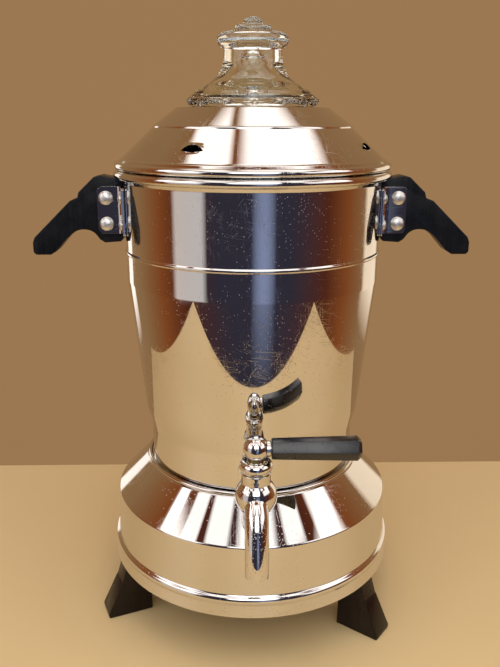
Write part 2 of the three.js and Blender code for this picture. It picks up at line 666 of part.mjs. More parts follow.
function glassTop() {
  const flangeZ = 331.4;
  const spigot = LID_HOLE_R - 0.8;
  const domeZ = TOP_Z - 4;
  const hollow = [
    [0, 360.9], [3, 360.2], [5, 358], [7.2, 352], [10.5, 345], [15.5, 338.6], [24, 333.6], [29.2, 329],
    [30.2, 322.6],
  ];
  const outline = [
    ...hollow,
    [spigot, 322.6],
    [spigot, flangeZ],
    [39.8, flangeZ],
    [40.3, 332.6],
    [36.2, 336.4],
    [34.5, 338],
    [27.9, 341.6],
    [22.8, 345],
    [19.3, 350.4],
    [17.8, 354],
    [17.3, 361.4],
    ...arc(17, 366.6, 4.3, -75, 75, 4),
    [10.6, 373.2],
    [10.3, 374.8],
    [6.2, domeZ - 0.4],
    ...dome(6, 4).map(([r, z]) => [r, domeZ + z]),
  ];
  let top = turned(outline, MIDDLE_ROUND);
  const lug = extruded(plateOf([[-5.5, 32], [5.5, 32], [5.5, 36.8], [-5.5, 36.8]]), 4.2);
  const beadLow = LID_TOP_Z + GAP;
  const beadHigh = flangeZ + 0.4;
  const bead = turned([[0, beadLow], [1.6, beadLow], [2.7, beadHigh], [0, beadHigh]], PIN_ROUND);
  for (let i = 0; i < LUG_COUNT; i += 1) {
    top = top.add(spin(lug.translate([0, 0, LID_TOP_Z - SHEET - GAP - 4.2]), (360 * i) / LUG_COUNT));
  }
  for (let i = 0; i < GLASS_BEADS; i += 1) {
    top = top.add(spin(bead.translate([0, -37.4, 0]), (360 * i) / GLASS_BEADS));
  }
  add('glass_top', top, glass);
}

// ---- percolator insert --------------------------------------------------------------------
function percolator() {
  const seat = WELL_FLOOR_Z + GAP;
  const footTop = 100;
  const footR = WELL_BORE - GAP;
  const foot = turned([
    [0.9, seat + 4], [5.6, seat], [footR, seat], [footR, seat + 1.4], [PUMP_R + GAP + 1.6, footTop],
    [PUMP_R + GAP, footTop], [PUMP_R + GAP, footTop - 5], [0.9, footTop - 5],
  ], SMALL_ROUND);
  add('pump_foot', foot, aluminium);

  const collar = BASKET_Z - GAP;
  const pump = turned([
    [2.8, footTop - 5 + GAP], [PUMP_R, footTop - 5 + GAP], [PUMP_R, collar - 3], [9, collar - 1.5],
    [9, collar], [PUMP_R, collar], [PUMP_R, PUMP_TOP_Z], [2.8, PUMP_TOP_Z],
  ], SMALL_ROUND);
  add('pump_tube', pump, aluminium);

  const sheet = 1;
  const sleeve = PUMP_R + 0.5;
  const basket = turned([
    [sleeve, BASKET_Z], [58, BASKET_Z], [60, BASKET_Z + 2], [65, BASKET_TOP_Z - 1], [67, BASKET_TOP_Z - 1],
    [67, BASKET_TOP_Z], [64, BASKET_TOP_Z], [59, BASKET_Z + 2.6], [57.6, BASKET_Z + sheet],
    [sleeve + 1.2, BASKET_Z + sheet], [sleeve + 1.2, BASKET_TOP_Z - 3], [sleeve, BASKET_TOP_Z - 3],
  ], MIDDLE_ROUND);
  add('coffee_basket', basket, aluminium);

  const coverZ = BASKET_TOP_Z + GAP;
  const cover = turned([
    [sleeve, coverZ + 3], [12, coverZ], [68, coverZ], [68, coverZ + 4], [67, coverZ + 4],
    [67, coverZ + sheet], [12.4, coverZ + sheet], [sleeve + 3, coverZ + 3 + sheet], [sleeve, coverZ + 5],
  ], MIDDLE_ROUND);
  add('basket_cover', cover, aluminium);
}

baseShell();
bottomPlate();
feet();
inlet();
heater();
vessel();
tapBody();
tapFixings();
tapValve();
tapLever();
handles();
vesselRivets();
lid();
glassTop();
percolator();

export default group;
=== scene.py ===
"""Looks of the percolator urn: smooth pieces in place of the faceted CAD solids, and their materials.

Lengths in this file are millimetres in the CAD's frame, unless a name says otherwise; meshes are in metres.
"""

import json
import math

import bmesh
import bpy
from mathutils import Matrix, Vector
from mathutils.geometry import delaunay_2d_cdt


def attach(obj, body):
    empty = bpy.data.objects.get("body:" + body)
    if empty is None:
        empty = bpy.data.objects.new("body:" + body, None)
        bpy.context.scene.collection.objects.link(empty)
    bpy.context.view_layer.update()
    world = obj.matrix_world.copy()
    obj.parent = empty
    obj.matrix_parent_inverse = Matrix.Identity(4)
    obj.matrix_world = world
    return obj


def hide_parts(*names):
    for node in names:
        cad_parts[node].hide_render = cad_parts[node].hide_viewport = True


MM = 0.001
ROUND = 192  # facets round the large shells
MIDDLE_ROUND = 96  # facets round the glass, the tap and the insert
SMALL_ROUND = 40  # facets round rivets, screws and pins
FILLET_STEP = 10  # degrees between the points of a rounded corner
GAP = 0.3
SHEET = 1.2
SIDES = {"left": -1, "right": 1}
ENDS = {"front": -1, "rear": 1}
RIVET_Z = {"lower": 259.6, "upper": 275.4}

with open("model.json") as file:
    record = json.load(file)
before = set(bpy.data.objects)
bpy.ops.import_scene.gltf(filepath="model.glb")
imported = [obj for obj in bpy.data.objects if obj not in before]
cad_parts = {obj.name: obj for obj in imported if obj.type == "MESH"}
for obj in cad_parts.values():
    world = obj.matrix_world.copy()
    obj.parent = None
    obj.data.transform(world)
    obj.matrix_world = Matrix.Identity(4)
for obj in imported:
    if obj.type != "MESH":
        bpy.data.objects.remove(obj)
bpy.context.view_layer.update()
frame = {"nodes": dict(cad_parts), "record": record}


# ---- outlines ----------------------------------------------------------------------------
def arc(centre_r, centre_z, radius, start, end, steps=10):
    """Points of an arc; angles in degrees, 0 pointing outwards and 90 pointing up."""
    angles = [math.radians(start + (end - start) * i / steps) for i in range(steps + 1)]
    return [(centre_r + radius * math.cos(a), centre_z + radius * math.sin(a)) for a in angles]


def corner(before, here, after, radius):
    """The points that round one corner of an outline."""
    back, onward = (before - here).normalized(), (after - here).normalized()
    half = back.angle(onward) / 2
    centre = here + (back + onward).normalized() * radius / math.sin(half)
    start = here + back * radius / math.tan(half) - centre
    turn = math.pi - 2 * half
    sign = 1 if back.cross(onward) < 0 else -1
    steps = max(2, math.ceil(math.degrees(turn) / FILLET_STEP))
    return [centre + Matrix.Rotation(sign * turn * i / steps, 2) @ start for i in range(steps + 1)]


def rounded(points, closed=False):
    """Rounds each corner of an outline that has a radius, given as its third number."""
    made = []
    last = len(points) - 1
    for i, point in enumerate(points):
        here = Vector(point[:2])
        if len(point) < 3 or (not closed and i in (0, last)):
            made.append(here)
            continue
        before, after = Vector(points[i - 1][:2]), Vector(points[(i + 1) % len(points)][:2])
        made += corner(before, here, after, point[2])
    return made


def held(points, closed=False, reach=0.35):
    """Adds points close to both ends of each long straight run, so that smooth shading stays flat between them."""
    made = []
    ends = points[1:] + (points[:1] if closed else [])
    for a, b in zip(points, ends):
        a, b = Vector(a), Vector(b)
        made.append(a)
        length = (b - a).length
        if length > 4 * reach:
            made += [a.lerp(b, reach / length), a.lerp(b, 1 - reach / length)]
    return made if closed else made + [Vector(points[-1])]


def spline(points, steps=6):
    """A smooth curve through the points (Catmull-Rom)."""
    points = [Vector(p) for p in points]
    padded = [2 * points[0] - points[1], *points, 2 * points[-1] - points[-2]]
    made = []
    for a, b, c, d in zip(padded, padded[1:], padded[2:], padded[3:]):
        for i in range(steps):
            t = i / steps
            made.append((2 * b + (c - a) * t + (2 * a - 5 * b + 4 * c - d) * t * t
                         + (3 * b - 3 * c + d - a) * t ** 3) / 2)
    return made + [points[-1]]


def stadium(width, height, steps=16):
    """A slot-shaped outline, its long side along the first axis."""
    radius = height / 2
    reach = width / 2 - radius
    return arc(reach, 0, radius, -90, 90, steps) + arc(-reach, 0, radius, 90, 270, steps)


# ---- meshes: a shape is (points, faces) -----------------------------------------------------
def lathe(profile, count=ROUND, angles=None):
    """Spins a closed profile of (radius, height), or one that starts and ends on the axis, about Z."""
    angles = angles or [2 * math.pi * i / count for i in range(count)]
    count = len(angles)
    points, rows = [], []
    for r, z in profile:
        around = angles if r > 1e-6 else [0]
        rows.append([len(points) + i for i in range(len(around))])
        points += [(r * math.sin(a), -r * math.cos(a), z) for a in around]
    pairs = list(zip(rows, rows[1:]))
    if len(rows[0]) > 1:
        pairs.append((rows[-1], rows[0]))
    faces = []
    for low, high in pairs:
        for i in range(count):
            j = (i + 1) % count
            ring = [low[i % len(low)], low[j % len(low)], high[j % len(high)], high[i % len(high)]]
            face = list(dict.fromkeys(ring))
            if len(face) > 2:
                faces.append(face)
    return points, faces


def turned(profile, count=ROUND, angles=None):
    """A lathe of a profile whose corners may have a radius as their third number."""
    on_axis = profile[0][0] < 1e-6
    return lathe(held(rounded(profile, not on_axis), not on_axis), count, angles)


def tube(path, radius, count=SMALL_ROUND):
    """A round bar along a path in the YZ plane."""
    points, faces = [], []
    for i, here in enumerate(path):
        along = (path[min(i + 1, len(path) - 1)] - path[max(i - 1, 0)]).normalized()
        side = Vector((0, -along.z, along.y))
        for k in range(count):
            a = 2 * math.pi * k / count
            points.append(here + radius * (Vector((math.cos(a), 0, 0)) + side * math.sin(a)))
    for i in range(len(path) - 1):
        for k in range(count):
            j = (k + 1) % count
            faces.append([i * count + k, i * count + j, (i + 1) * count + j, (i + 1) * count + k])
    faces.append(list(range(count)))
    faces.append([len(points) - 1 - k for k in range(count)])
    return points, faces


def prism(outline, depth):
    """An outline in XY pushed up by depth."""
    count = len(outline)
    points = [(p[0], p[1], z) for z in (0, depth) for p in outline]
    faces = [list(range(count)), [2 * count - 1 - i for i in range(count)]]
    faces += [[i, (i + 1) % count, count + (i + 1) % count, count + i] for i in range(count)]
    return points, faces


def moved(shape, matrix):
    return [matrix @ Vector(p) for p in shape[0]], shape[1]


def shifted(shape, x, y, z):
    return moved(shape, Matrix.Translation((x, y, z)))


def turn(shape, degrees, axis="Z"):
    return moved(shape, Matrix.Rotation(math.radians(degrees), 4, axis))


def along_y(shape, x, y, z):
    """Lays a shape that stands on +Z along +Y."""
    return shifted(turn(shape, -90, "X"), x, y, z)


def along_x(shape, x, y, z):
    """Lays a shape that stands on +Z along +X."""
    return shifted(turn(shape, 90, "Y"), x, y, z)


def mirrored(shape, axis):
    scale = Matrix.Diagonal([-1 if i == axis else 1 for i in range(3)] + [1])
    return moved(shape, scale)


def joined(*shapes):
    points, faces = [], []
    for more, corners in shapes:
        faces += [[len(points) + k for k in face] for face in corners]
        points += list(more)
    return points, faces


def bare_object(name, shape):
    mesh = bpy.data.meshes.new(name)
    mesh.from_pydata([Vector(p) * MM for p in shape[0]], [], shape[1])
    shaped = bmesh.new()
    shaped.from_mesh(mesh)
    bmesh.ops.recalc_face_normals(shaped, faces=shaped.faces)
    shaped.to_mesh(mesh)
    shaped.free()
    made = bpy.data.objects.new(name, mesh)
    bpy.context.scene.collection.objects.link(made)
    return made


def settle(piece):
    """Makes what the modifiers do permanent."""
    shown = piece.evaluated_get(bpy.context.evaluated_depsgraph_get())
    mesh = bpy.data.meshes.new_from_object(shown)
    piece.modifiers.clear()
    piece.data = mesh


def combine(piece, shape, operation="DIFFERENCE"):
    """Cuts a shape from a piece, or adds it."""
    tool = bare_object("tool", shape)
    modifier = piece.modifiers.new("combine", "BOOLEAN")
    modifier.object = tool
    modifier.operation = operation
    modifier.solver = "EXACT"
    settle(piece)
    bpy.data.objects.remove(tool)


def bevel(piece, width, segments=3, angle=30):
    modifier = piece.modifiers.new("bevel", "BEVEL")
    modifier.width = width * MM
    modifier.segments = segments
    modifier.limit_method = "ANGLE"
    modifier.angle_limit = math.radians(angle)
    modifier.use_clamp_overlap = True
    settle(piece)


def finished(piece, material, body, slot, *nodes, sharp=32):
    """Gives a piece its shading, material and body, and hides the CAD nodes it stands for; slot is not used."""
    mesh = piece.data
    mesh.polygons.foreach_set("use_smooth", [True] * len(mesh.polygons))
    mesh.set_sharp_from_angle(angle=math.radians(sharp))
    mesh.materials.clear()
    mesh.materials.append(material)
    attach(piece, body)
    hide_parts(*nodes)
    return piece


# ---- materials ---------------------------------------------------------------------------
class Finish:
    """Builds one node material. Lengths in it are metres, in the object's own space."""

    def __init__(self, name, values=None):
        self.material = bpy.data.materials.new(name)
        self.material.use_nodes = True
        self.tree = self.material.node_tree
        self.shader = self.tree.nodes["Principled BSDF"]
        self.place = self.node("TexCoord").outputs["Object"]
        for key, value in (values or {}).items():
            self.shader.inputs[key].default_value = value

    def node(self, kind, inputs=None, **settings):
        made = self.tree.nodes.new("ShaderNode" + kind)
        for key, value in settings.items():
            setattr(made, key, value)
        for key, value in (inputs or {}).items():
            if isinstance(value, bpy.types.NodeSocket):
                self.tree.links.new(value, made.inputs[key])
            else:
                made.inputs[key].default_value = value
        return made

    def noise(self, size, detail=2.0, place=None):
        inputs = {"Vector": place or self.place, "Scale": 1 / size, "Detail": detail}
        return self.node("TexNoise", inputs).outputs["Fac"]

    def ramp(self, value, low, high, start=0.0, end=1.0):
        inputs = {"Value": value, "From Min": low, "From Max": high, "To Min": start, "To Max": end}
        return self.node("MapRange", inputs).outputs["Result"]

    def calc(self, operation, first, second=0.0):
        return self.node("Math", {0: first, 1: second}, operation=operation).outputs[0]

    def blend(self, factor, first, second):
        inputs = {"Factor": factor, "A": first, "B": second}
        return self.node("Mix", inputs, data_type="RGBA").outputs["Result"]

    def wall(self):
        """Distance round the urn's axis, and height, as a flat sheet's two directions."""
        xyz = self.node("SeparateXYZ", {"Vector": self.place})
        back = self.calc("MULTIPLY", xyz.outputs["Y"], -1.0)
        angle = self.calc("ARCTAN2", xyz.outputs["X"], back)
        around = self.calc("MULTIPLY", angle, 0.08)
        return self.node("CombineXYZ", {"X": around, "Y": xyz.outputs["Z"]}).outputs["Vector"]

    def lines(self, place, width, length, degrees, low, high):
        """Thin scratches of that width and length, turned on the sheet."""
        inputs = {"Vector": place, "Rotation": (0, 0, math.radians(degrees)), "Scale": (width, length, 1)}
        stretched = self.node("Mapping", inputs, vector_type="TEXTURE").outputs["Vector"]
        return self.ramp(self.noise(1.0, 1.0, stretched), low, high)

    def specks(self, size, radius, share):
        """Round spots in some of the cells of that size."""
        cells = self.node("TexVoronoi", {"Vector": self.place, "Scale": 1 / size})
        chosen = self.node("SeparateColor", {"Color": cells.outputs["Color"]}).outputs["Red"]
        spot = self.ramp(cells.outputs["Distance"], radius * 1.4, radius * 0.7)
        return self.calc("MULTIPLY", spot, self.calc("LESS_THAN", chosen, share))

    def bump(self, height, depth, strength=1.0):
        inputs = {"Height": height, "Distance": depth, "Strength": strength}
        made = self.node("Bump", inputs)
        self.tree.links.new(made.outputs["Normal"], self.shader.inputs["Normal"])

    def use(self, socket, value):
        self.tree.links.new(value, self.shader.inputs[socket])


def chrome(name, pit_share, pit_radius, scratch_low, smudge):
    """Mirror chrome with hairline scratches, pits and faint smudges."""
    look = Finish(name, {"Metallic": 1.0})
    wall = look.wall()
    scratches = look.lines(wall, 0.00016, 0.02, 8, scratch_low, scratch_low + 0.05)
    for width, length, degrees in ((0.0002, 0.014, -38), (0.00018, 0.016, 61), (0.00025, 0.03, 83)):
        more = look.lines(wall, width, length, degrees, scratch_low + 0.01, scratch_low + 0.06)
        scratches = look.calc("MAXIMUM", scratches, more)
    worn = look.ramp(look.noise(0.045, 3.0), 0.4, 0.62)
    scratches = look.calc("MULTIPLY", scratches, worn)
    xyz = look.node("SeparateXYZ", {"Vector": look.place})
    front = look.ramp(look.calc("MULTIPLY", xyz.outputs["Y"], -1.0), 0.062, 0.077, 0.25, 1.0)
    patch = look.calc("MULTIPLY", look.ramp(look.noise(0.03, 3.0), 0.38, 0.6), front)
    pits = look.specks(0.0013, pit_radius, look.calc("MULTIPLY", patch, pit_share))
    cloud = look.ramp(look.noise(0.03, 4.0), 0.35, 0.7, 0.012, 0.012 + smudge)
    dulled = look.calc("ADD", look.calc("MULTIPLY", scratches, 0.28), look.calc("MULTIPLY", pits, 0.5))
    look.use("Roughness", look.calc("ADD", cloud, dulled))
    plate = look.blend(look.ramp(look.noise(0.06, 2.0), 0.3, 0.7), (0.70, 0.69, 0.66, 1), (0.76, 0.75, 0.735, 1))
    look.use("Base Color", look.blend(look.calc("MULTIPLY", pits, 0.15), plate, (0.10, 0.075, 0.05, 1)))
    wave = look.calc("MULTIPLY", look.noise(0.05, 1.0), 3.0)
    marks = look.calc("ADD", look.calc("MULTIPLY", scratches, 0.5), look.calc("MULTIPLY", pits, 2.5))
    look.bump(look.calc("SUBTRACT", wave, marks), 0.00001)
    return look.material


def bakelite(name, dark, light, sheen_rough, shine=0.28):
    """Moulded phenolic: faint mottling, flow marks and a satin skin that rubs dull."""
    look = Finish(name, {"Specular IOR Level": shine})
    mottle = look.ramp(look.noise(0.004, 4.0), 0.35, 0.7)
    flow = look.lines(look.place, 0.0012, 0.012, 30, 0.45, 0.75)
    look.use("Base Color", look.blend(look.calc("MULTIPLY", mottle, flow), dark, light))
    dull = look.ramp(look.noise(0.012, 5.0), 0.35, 0.7, sheen_rough, sheen_rough + 0.16)
    nicks = look.lines(look.place, 0.0003, 0.006, -25, 0.68, 0.74)
    look.use("Roughness", look.calc("ADD", dull, look.calc("MULTIPLY", nicks, 0.2)))
    skin = look.calc("ADD", look.noise(0.0011, 2.0), look.calc("MULTIPLY", nicks, -0.8))
    look.bump(skin, 0.00003, 0.6)
    return look.material


def pressed_glass():
    """Clear pressed glass with a slight green tint, mould waves and a few seeds."""
    look = Finish("clear_glass", {"Transmission Weight": 1.0, "IOR": 1.5})
    look.use("Base Color", look.blend(look.noise(0.02, 2.0), (0.90, 0.96, 0.90, 1), (0.97, 1.0, 0.97, 1)))
    look.use("Roughness", look.ramp(look.noise(0.01, 4.0), 0.4, 0.75, 0.0, 0.05))
    seeds = look.specks(0.004, 0.06, 0.3)
    look.bump(look.calc("SUBTRACT", look.noise(0.007, 2.0), seeds), 0.00018, 0.6)
    return look.material


def spun_metal(name, low_colour, high_colour, rough, ring=0.0007):
    """Metal turned on the urn's axis: fine rings, cloudy tarnish and specks."""
    look = Finish(name, {"Metallic": 1.0})
    xyz = look.node("SeparateXYZ", {"Vector": look.place})
    radius = look.node("VectorMath", {0: look.node("CombineXYZ", {
        "X": xyz.outputs["X"], "Y": xyz.outputs["Y"]}).outputs["Vector"]}, operation="LENGTH").outputs["Value"]
    rings_at = look.node("CombineXYZ", {"X": radius, "Y": xyz.outputs["Z"]}).outputs["Vector"]
    rings = look.noise(ring, 2.0, rings_at)
    cloud = look.noise(0.012, 4.0)
    look.use("Base Color", look.blend(look.ramp(cloud, 0.35, 0.7), low_colour, high_colour))
    sum_rough = look.calc("ADD", look.ramp(cloud, 0.3, 0.75, rough, rough + 0.15), look.calc("MULTIPLY", rings, 0.08))
    look.use("Roughness", sum_rough)
    look.bump(look.calc("ADD", rings, look.calc("MULTIPLY", look.specks(0.003, 0.1, 0.15), -1.0)), 0.00003, 0.7)
    return look.material


def polished_rivet():
    """Aluminium rivet heads: hammer facets, with cloudy patches of lighter and darker tone and roughness."""
    look = Finish("rivet", {"Metallic": 1.0})
    cloud = look.noise(0.0016, 3.0)
    look.use("Base Color", look.blend(look.ramp(cloud, 0.35, 0.7), (0.76, 0.76, 0.74, 1), (0.92, 0.92, 0.90, 1)))
    look.use("Roughness", look.ramp(cloud, 0.3, 0.75, 0.36, 0.52))
    cells = look.node("TexVoronoi", {"Vector": look.place, "Scale": 1 / 0.0014}, feature="SMOOTH_F1")
    look.bump(cells.outputs["Distance"], 0.00012, 0.5)
    return look.material


def rough_solid(name, low_colour, high_colour, rough, grain, depth):
    """Ceramic, rubber and the like: grains of that size in colour and surface."""
    look = Finish(name)
    grains = look.noise(grain, 4.0)
    look.use("Base Color", look.blend(look.ramp(grains, 0.35, 0.7), low_colour, high_colour))
    look.use("Roughness", look.ramp(look.noise(grain * 6, 3.0), 0.3, 0.7, rough - 0.1, rough + 0.1))
    look.bump(grains, depth)
    return look.material


CHROME = chrome("chrome", 0.6, 0.16, 0.67, 0.025)
TAP_CHROME = chrome("chrome_tap", 1.0, 0.24, 0.68, 0.05)
BLACK = bakelite("black_bakelite", (0.006, 0.007, 0.009, 1), (0.014, 0.015, 0.019, 1), 0.24)
LEVER_BLACK = bakelite("black_bakelite_lever", (0.008, 0.009, 0.011, 1), (0.016, 0.018, 0.021, 1), 0.2, 0.6)
BROWN = bakelite("brown_bakelite", (0.008, 0.004, 0.003, 1), (0.022, 0.010, 0.006, 1), 0.22)
GLASS = pressed_glass()
ALUMINIUM = spun_metal("aluminium", (0.50, 0.50, 0.51, 1), (0.66, 0.66, 0.67, 1), 0.24)
BRASS = spun_metal("brass", (0.42, 0.28, 0.10, 1), (0.62, 0.45, 0.19, 1), 0.26)
STEEL = spun_metal("steel", (0.30, 0.30, 0.30, 1), (0.46, 0.46, 0.45, 1), 0.32)
RIVET = polished_rivet()
CERAMIC = rough_solid("ceramic", (0.62, 0.57, 0.47, 1), (0.80, 0.76, 0.67, 1), 0.55, 0.0016, 0.00008)
RUBBER = rough_solid("rubber", (0.018, 0.017, 0.016, 1), (0.045, 0.042, 0.04, 1), 0.75, 0.0009, 0.0001)


# ---- base --------------------------------------------------------------------------------
def base_shell():
    profile = [
        (94.2, 36.9, 0.3), (94.5, 36.5, 0.3), (95.3, 36.5, 0.35), (95.2, 37.4), (94.1, 43.9, 0.5),
        *arc(91.8, 46.8, 3.2, -30, 62, 12),
        (92.7, 50.5, 0.8), (91.2, 81.5, 1.8), (71.3, 103.3, 0.3), (70.5, 103.7),
        *arc(69.4, 104.7, 1.3, -25, 175, 12),
        (67.9, 104.7, 0.2), (50, 104.7), (50, 103.5), (68.4, 103.5, 1),
        (89.2, 81, 1.2), (91.0, 50.4, 0.6), (92.4, 43.8, 0.6),
    ]
    piece = bare_object("base_shell_skin", turned(profile))
    combine(piece, along_y(prism(stadium(36.6, 19.6), 30), 0, 80, 65))
    finished(piece, CHROME, "urn", "chrome", "base_shell")


def bottom_plate():
    plate_z = 39
    flat = perforated([(45, 8, 0, 4.0)], 3.7, 91, lambda s: (s, plate_z), SHEET)
    edge = turned([(90.5, plate_z), (93.2, plate_z, 0.4), (92.6, 42.6, 0.4), (91.4, 42.6, 0.4),
                   (91, plate_z + SHEET, 0.3), (90.5, plate_z + SHEET)])
    piece = bare_object("bottom_plate_skin", joined(flat, edge))
    finished(piece, STEEL, "urn", "steel", "base_bottom_plate")


FOOT_ANGLES = {"left": -68.1, "right": 51.9, "rear": 171.9}


def feet():
    top = 38.7
    outline = [(77, 0), (106.8, 0), (107.0, 3), (97.3, 23), (96.6, 23.6), (93.6, 34), (92.6, top), (77, top)]
    half = 8.3
    narrowing = 0.004  # share of its width that the foot loses per millimetre of height
    points, faces = prism(outline, 2 * half)
    wedge = [(x, (z - half) * (1 - narrowing * y), y) for x, y, z in points]
    # The outline's first axis points outwards, so it is turned from +X to the front.
    body = turn((wedge, faces), -90)
    screw = shifted(turned([(0, 14), (2, 14), (2, 40.5), (4, 40.5, 0.3), (3.4, 42.3, 0.5), (0, 42.9)],
                           SMALL_ROUND), 0, -85, 0)
    for name, degrees in FOOT_ANGLES.items():
        piece = bare_object(f"foot_{name}_skin", turn(body, degrees))
        bevel(piece, 0.7)
        finished(piece, BROWN, "urn", "brown_bakelite", f"foot_{name}")
        pin = bare_object(f"foot_screw_{name}_skin", turn(screw, degrees))
        finished(pin, STEEL, "urn", "steel", f"foot_screw_{name}")


def perforated(rows, start, end, place, thickness, inner=0.0, count=96):
    """A ring of sheet with rows of round holes. Rows are (distance along the sheet, holes, turn, hole radius);
    place gives the radius and height at a distance along the sheet, and inner spreads the ring for the mesher."""
    def flat(angle, s):
        return Vector(((inner + s) * math.sin(angle), (inner + s) * math.cos(angle)))

    points, edges, holes = [], [], []

    def loop(ring):
        first = len(points)
        points.extend(ring)
        edges.extend((first + i, first + (i + 1) % len(ring)) for i in range(len(ring)))

    for s in (start, end):
        loop([flat(2 * math.pi * i / count, s) for i in range(count)])
    for s, many, turned_by, radius in rows:
        reach = place(s)[0]
        for i in range(many):
            angle = math.radians(turned_by) + 2 * math.pi * i / many
            steps = [2 * math.pi * k / 12 for k in range(12)]
            loop([flat(angle + radius * math.cos(t) / reach, s + radius * math.sin(t)) for t in steps])
            holes.append((flat(angle, s), radius))
    meshed = delaunay_2d_cdt(points, edges, [], 1, 1e-5)
    found, triangles = meshed[0], meshed[2]
    kept = []
    for triangle in triangles:
        middle = sum((found[k] for k in triangle), Vector((0, 0))) / 3
        reach = middle.length - inner
        if reach < start or reach > end:
            continue
        if any((middle - hole).length < radius * 0.9 for hole, radius in holes):
            continue
        kept.append(list(triangle))
    solid = []
    for layer in (0, thickness):
        for p in found:
            r, z = place(p.length - inner)
            direction = p.normalized()
            solid.append((direction.x * r, -direction.y * r, z + layer))
    count_found = len(found)
    used = {}
    for face in kept:
        for a, b in zip(face, face[1:] + face[:1]):
            used[(a, b)] = True
    faces = kept + [[k + count_found for k in reversed(face)] for face in kept]
    faces += [[a, b, b + count_found, a + count_found] for a, b in used if (b, a) not in used]
    return solid, faces


def vessel():
    profile = [
        (11.3, 105), (67.3, 105, 3), (67.3, 127.6), (67.5, 129.2), (68.2, 131.6), (69.4, 136.0), (70.8, 142.0),
        (79.6, 226, 8), (79.6, 242.4, 0.2), (80.25, 243.2, 0.3), (80.25, 244.2, 0.3), (79.6, 245.0, 0.2),
        (79.6, 285.4, 1.0), (80.7, 287.4, 1.0),
        *arc(83.1, 290.2, 2.5, -115, 100, 16),
        (80.0, 291.9, 0.6), (78.6, 290.4, 0.8), (78.4, 226, 8), (69.6, 142.0), (67.0, 132.0),
        (66.1, 127.6), (66.1, 106.2, 2.2), (11.3, 106.2),
    ]
    piece = bare_object("vessel_skin", turned(profile))
    finished(piece, CHROME, "urn", "chrome", "vessel")


# ---- tap ---------------------------------------------------------------------------------
TAP_Y = -97
TAP_Z = 120
SPOUT_Y = -119


def spout_path(end, straight=0):
    """The tap's bore line: a quarter of an ellipse from the ball's middle down, and on by a straight end."""
    reach, drop = TAP_Y - SPOUT_Y, TAP_Z - end
    angles = [math.radians(5 * i) for i in range(19)]
    points = [Vector((0, TAP_Y - reach * math.sin(a), end + drop * math.cos(a))) for a in angles]
    return points + [Vector((0, SPOUT_Y, end - straight))] if straight else points


def tap_body():
    shoulder = -75.3
    neck = [(8.3, 131.6, 0.5), (8.3, 134.6, 0.5), (0, 134.6)]
    ball = turned([*arc(0, TAP_Z, 12, -90, 46, 26), *neck], MIDDLE_ROUND)
    piece = bare_object("tap_body_skin", shifted(ball, 0, TAP_Y, 0))
    combine(piece, tube(spout_path(83), 6.7, 64), "UNION")
    back = turned([(0, 0), (7.4, 0), (7.4, shoulder - TAP_Y + 1, 0.4), (0, shoulder - TAP_Y + 1)], 64)
    combine(piece, along_y(back, 0, TAP_Y, TAP_Z), "UNION")
    six = [(9 * math.sin(math.radians(a)), 9 * math.cos(math.radians(a)), 0.6) for a in range(0, 360, 60)]
    combine(piece, along_y(prism(rounded(six, True), 5), 0, shoulder, TAP_Z), "UNION")
    shank = turned([(0, 0), (5.7, 0), (5.7, -58 - TAP_Y, 0.5), (0, -58 - TAP_Y)], 64)
    combine(piece, along_y(shank, 0, TAP_Y, TAP_Z), "UNION")
    combine(piece, tube(spout_path(83, 2), 4.2, 48))
    bevel(piece, 0.35, 2, 40)
    finished(piece, TAP_CHROME, "urn", "chrome", "tap_body")


def tap_fixings():
    washer = turned([(6, 0), (10, 0, 0.4), (10, 2, 0.6), (6, 2)], MIDDLE_ROUND)
    finished(bare_object("tap_washer_skin", along_y(washer, 0, -70, TAP_Z)), TAP_CHROME, "urn", "chrome", "tap_washer")
    gasket = turned([(6, 0), (9, 0, 0.4), (9, 1.8, 0.4), (6, 1.8)], MIDDLE_ROUND)
    inside = -65.25
    finished(bare_object("tap_gasket_skin", along_y(gasket, 0, inside, TAP_Z)), RUBBER, "urn", "rubber", "tap_gasket")
    nut = nut_shape(6.3, 9.5, 4.6)
    finished(bare_object("tap_nut_skin", along_y(nut, 0, inside + 2.1, TAP_Z)), BRASS, "urn", "brass", "tap_nut")


def nut_shape(bore, across, height):
    """A hexagon nut with a round bore and chamfered corners, standing on z = 0."""
    six = [(across * math.sin(math.radians(a)), across * math.cos(math.radians(a)), 0.4) for a in range(0, 360, 60)]
    outer = rounded(six, True)
    count = len(outer)
    inner = [p.normalized() * bore for p in outer]
    points, faces = [], []
    for ring, z in ((inner, 0), (outer, 0.3), (outer, height - 0.3), (inner, height)):
        points += [(p.x, p.y, z) for p in ring]
    for row in range(4):
        for i in range(count):
            j = (i + 1) % count
            low, high = row * count, (row + 1) % 4 * count
            faces.append([low + i, low + j, high + j, high + i])
    return points, faces


